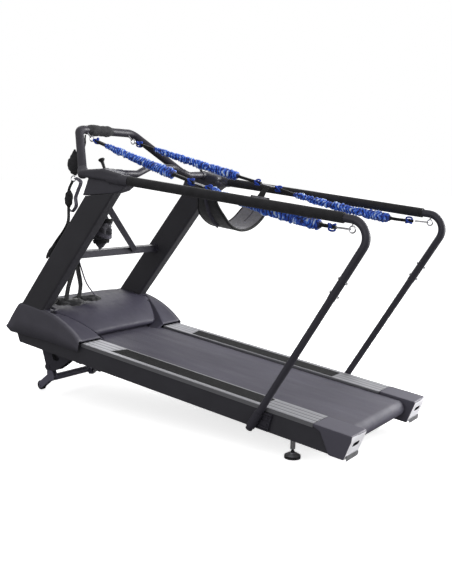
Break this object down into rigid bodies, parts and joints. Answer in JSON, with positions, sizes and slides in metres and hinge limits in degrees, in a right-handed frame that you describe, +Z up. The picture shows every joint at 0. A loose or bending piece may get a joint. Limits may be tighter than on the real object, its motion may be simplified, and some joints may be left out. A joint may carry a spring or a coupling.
{
  "type": "treadmill",
  "caption": "Self-powered treadmill with a flat sloping belt, leaning columns, handrails, a push bar, control levers and bungee cords that hold a waist belt.",
  "frame": {"origin": "centre of the bounding box, on the floor", "axes": "+X towards the rear of the belt, +Y to the user's right when facing the hood, +Z up"},
  "size_m": [2.2844, 0.968, 1.5636],
  "materials": {
    "frame_paint": "satin powder coat",
    "cover_plastic": "fine moulded texture",
    "cap_plastic": "fine moulded texture",
    "foot_aluminium": "brushed, anodised",
    "grip_rubber": "ribbed",
    "belt_rubber": "fine woven top",
    "deck_board": "phenolic faced",
    "bright_steel": "turned",
    "chrome": "polished",
    "flywheel_iron": "machined",
    "yoke_metal": "cast",
    "brake_metal": "satin",
    "foam": "matte foam",
    "black_plastic": "moulded",
    "wheel_rubber": "matte",
    "bungee_fabric": "gathered sleeve",
    "belt_fabric": "padded webbing"
  },
  "bodies": {
    "root": {"left_side_rail": "frame_paint", "right_side_rail": "frame_paint", "cross_members": "frame_paint", "running_deck": "deck_board", "deck_cushions": "grip_rubber", "running_belt": "belt_rubber", "left_foot_rail": "foot_aluminium", "right_foot_rail": "foot_aluminium", "left_grip_strip": "grip_rubber", "right_grip_strip": "grip_rubber", "roller_bearings": "bright_steel", "tension_bolts": "bright_steel", "drive_belt": "grip_rubber", "base_frame": "frame_paint", "hood_cover": "cover_plastic", "left_hood_side": "cover_plastic", "right_hood_side": "cover_plastic", "left_column": "frame_paint", "right_column": "frame_paint", "left_column_cap": "frame_paint", "right_column_cap": "frame_paint", "crossbar": "frame_paint", "diagonal_brace": "frame_paint", "push_bar": "frame_paint", "front_handle": "frame_paint", "left_handrail": "frame_paint", "right_handrail": "frame_paint", "left_foam_grip": "foam", "right_foam_grip": "foam", "left_leg": "frame_paint", "right_leg": "frame_paint", "leg_brackets": "frame_paint", "leg_bolts": "bright_steel", "left_end_cap": "cap_plastic", "right_end_cap": "cap_plastic", "end_cap_brackets": "bright_steel", "foot_bosses": "bright_steel", "anchor_rings": "chrome", "lift_actuator": "black_plastic", "left_bungees": "bungee_fabric", "right_bungees": "bungee_fabric", "carabiners": "chrome", "waist_belt": "belt_fabric", "harness_bundle": "belt_fabric", "strap_set": "belt_fabric", "hanging_handles": "belt_fabric"},
    "front_drum": {"front_roller": "bright_steel", "drive_pulley": "yoke_metal"},
    "rear_drum": {"rear_roller": "bright_steel"},
    "flywheel_rotor": {"flywheel": "flywheel_iron"},
    "yoke": {"magnet_yoke": "yoke_metal"},
    "brake": {"brake_arm": "brake_metal"},
    "resistance_handle": {"resistance_lever": "black_plastic"},
    "brake_handle": {"brake_lever": "black_plastic"},
    "front_support": {"incline_frame": "frame_paint"},
    "jack_rod": {"lift_rod": "chrome"},
    "left_wheel": {"left_front_wheel": "wheel_rubber"},
    "right_wheel": {"right_front_wheel": "wheel_rubber"},
    "left_foot": {"left_rear_foot": "black_plastic"},
    "right_foot": {"right_rear_foot": "black_plastic"}
  },
  "joints": [
    {"name": "flywheel_spin", "type": "hinge", "parent": "root", "child": "flywheel_rotor", "pos_m": [-0.86869, 0.24, 0.39699], "axis": [0, 1, 0], "continuous": true},
    {"name": "front_roller_spin", "type": "hinge", "parent": "root", "child": "front_drum", "pos_m": [-0.66536, 0, 0.32652], "axis": [0, 1, 0], "continuous": true},
    {"name": "rear_roller_spin", "type": "hinge", "parent": "root", "child": "rear_drum", "pos_m": [1.00881, 0, 0.13577], "axis": [0, 1, 0], "continuous": true},
    {"name": "resistance_lever_tilt", "type": "hinge", "parent": "root", "child": "resistance_handle", "pos_m": [-0.38623, -0.43, 1.30119], "axis": [0, 1, 0], "range_deg": [0, 50]},
    {"name": "yoke_swing", "type": "hinge", "parent": "root", "child": "yoke", "pos_m": [-1.02617, 0.24, 0.35756], "axis": [0, 1, 0], "range_deg": [0, 6]},
    {"name": "brake_lever_tilt", "type": "hinge", "parent": "root", "child": "brake_handle", "pos_m": [-0.38623, 0.43, 1.30119], "axis": [0, 1, 0], "range_deg": [0, 50]},
    {"name": "brake_swing", "type": "hinge", "parent": "root", "child": "brake", "pos_m": [-0.75028, 0.24, 0.28789], "axis": [0, 1, 0], "range_deg": [-1, 0]},
    {"name": "support_tilt", "type": "hinge", "parent": "root", "child": "front_support", "pos_m": [-0.93972, 0, 0.15347], "axis": [0, 1, 0], "range_deg": [-5, 15]},
    {"name": "rod_slide", "type": "slide", "parent": "root", "child": "jack_rod", "axis": [0.8786, 0, 0.4775], "range_m": [-0.027, 0.01]},
    {"name": "left_wheel_spin", "type": "hinge", "parent": "front_support", "child": "left_wheel", "pos_m": [-1.01339, -0.3, 0.028], "axis": [0, 1, 0], "continuous": true},
    {"name": "right_wheel_spin", "type": "hinge", "parent": "front_support", "child": "right_wheel", "pos_m": [-1.01339, 0.3, 0.028], "axis": [0, 1, 0], "continuous": true},
    {"name": "left_foot_height", "type": "slide", "parent": "root", "child": "left_foot", "axis": [0, 0, 1], "range_m": [-0.012, 0]},
    {"name": "right_foot_height", "type": "slide", "parent": "root", "child": "right_foot", "axis": [0, 0, 1], "range_m": [-0.012, 0]}
  ],
  "couplings": [
    {"joint": "front_roller_spin", "follows": "flywheel_spin", "ratio": 0.4},
    {"joint": "rear_roller_spin", "follows": "flywheel_spin", "ratio": 0.4},
    {"joint": "yoke_swing", "follows": "resistance_lever_tilt", "ratio": 0.12},
    {"joint": "brake_swing", "follows": "brake_lever_tilt", "ratio": -0.02},
    {"joint": "rod_slide", "follows": "support_tilt", "m_per_rad": -0.0979}
  ]
}
